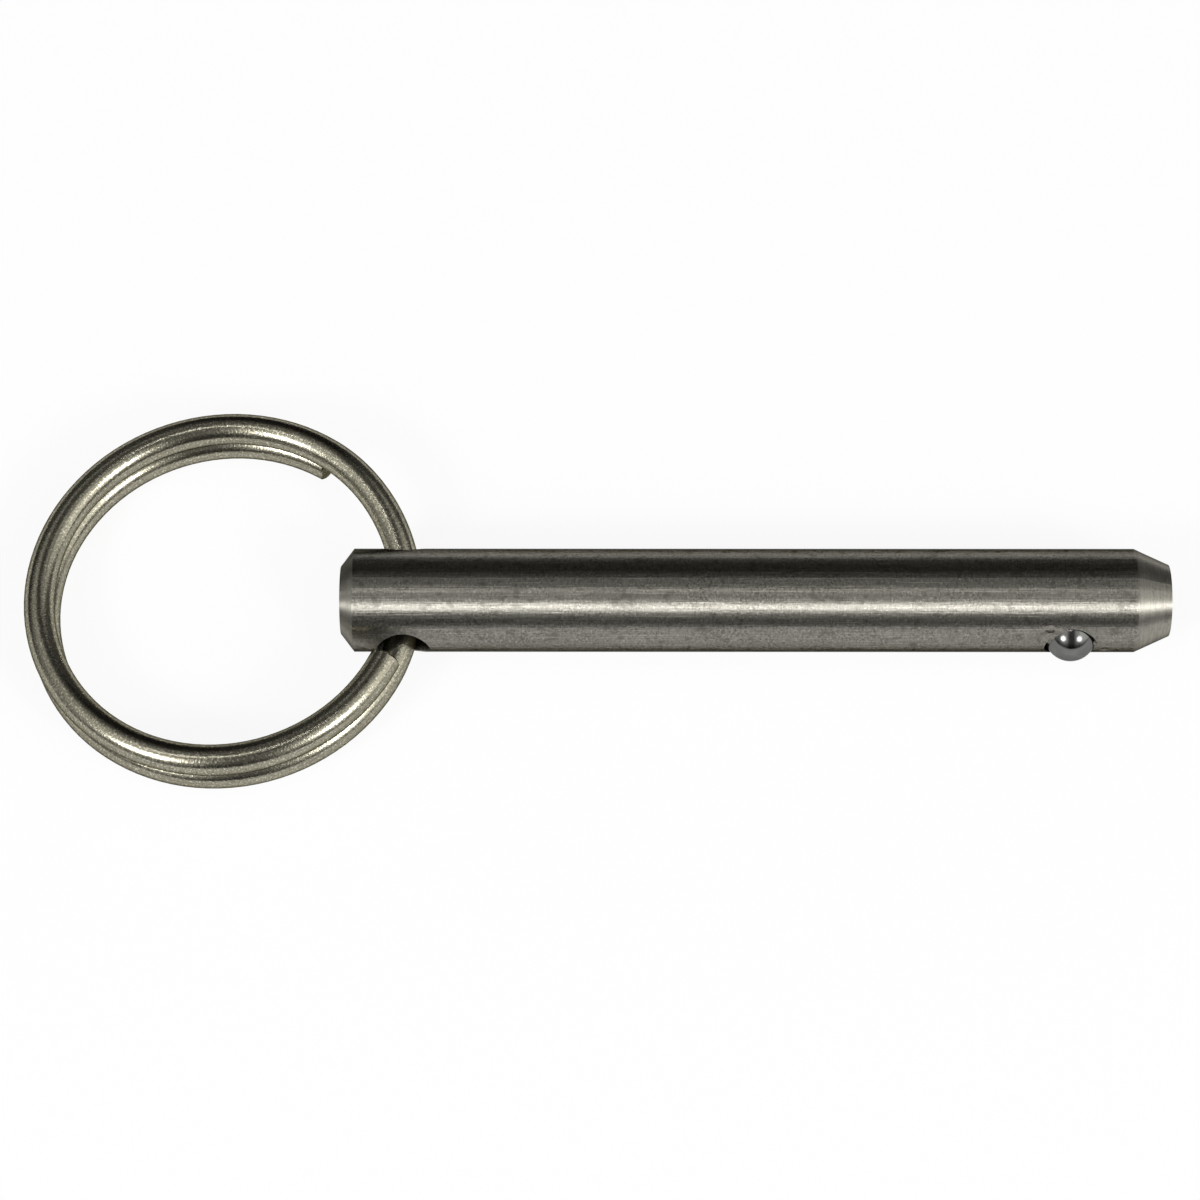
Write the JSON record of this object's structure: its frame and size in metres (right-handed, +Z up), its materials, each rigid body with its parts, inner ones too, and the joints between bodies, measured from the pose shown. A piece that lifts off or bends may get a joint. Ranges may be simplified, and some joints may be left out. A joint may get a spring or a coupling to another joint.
{
  "type": "cotterless hitch pin",
  "caption": "Straight steel hitch pin with a split ring through one end and a spring-loaded ball near its tapered nose, so it holds with no cotter.",
  "frame": {"origin": "on the shank's axis, at the edge of the ring hole nearer the ball, where the clear length of the shank starts", "axes": "+X along the shank to its nose, +Z up from the table the pin lies on, and the ball looks out to -Y"},
  "size_m": [0.0703, 0.0244, 0.0064],
  "materials": {
    "shank_steel": "drawn and ground steel, satin, with fine pits",
    "ball_steel": "polished bearing steel",
    "spring_steel": "drawn spring wire",
    "ring_wire": "plated wire, slightly warm, frosted"
  },
  "bodies": {
    "shank": {"shank": "shank_steel", "detent_spring": "spring_steel"},
    "ball": {"detent_ball": "ball_steel"},
    "ring": {"split_ring": "ring_wire"}
  },
  "joints": [
    {"name": "ring_swing", "type": "hinge", "parent": "shank", "child": "ring", "pos_m": [-0.00159, 0, 0], "axis": [0, 0.99, 0.1412], "range_deg": [-162, 169]},
    {"name": "ball_press", "type": "slide", "parent": "shank", "child": "ball", "axis": [0, 1, 0.009], "range_m": [0, 0.00085], "stiffness_N_per_m": 2000, "springref_m": -0.002, "deforming": ["detent_spring"]}
  ]
}
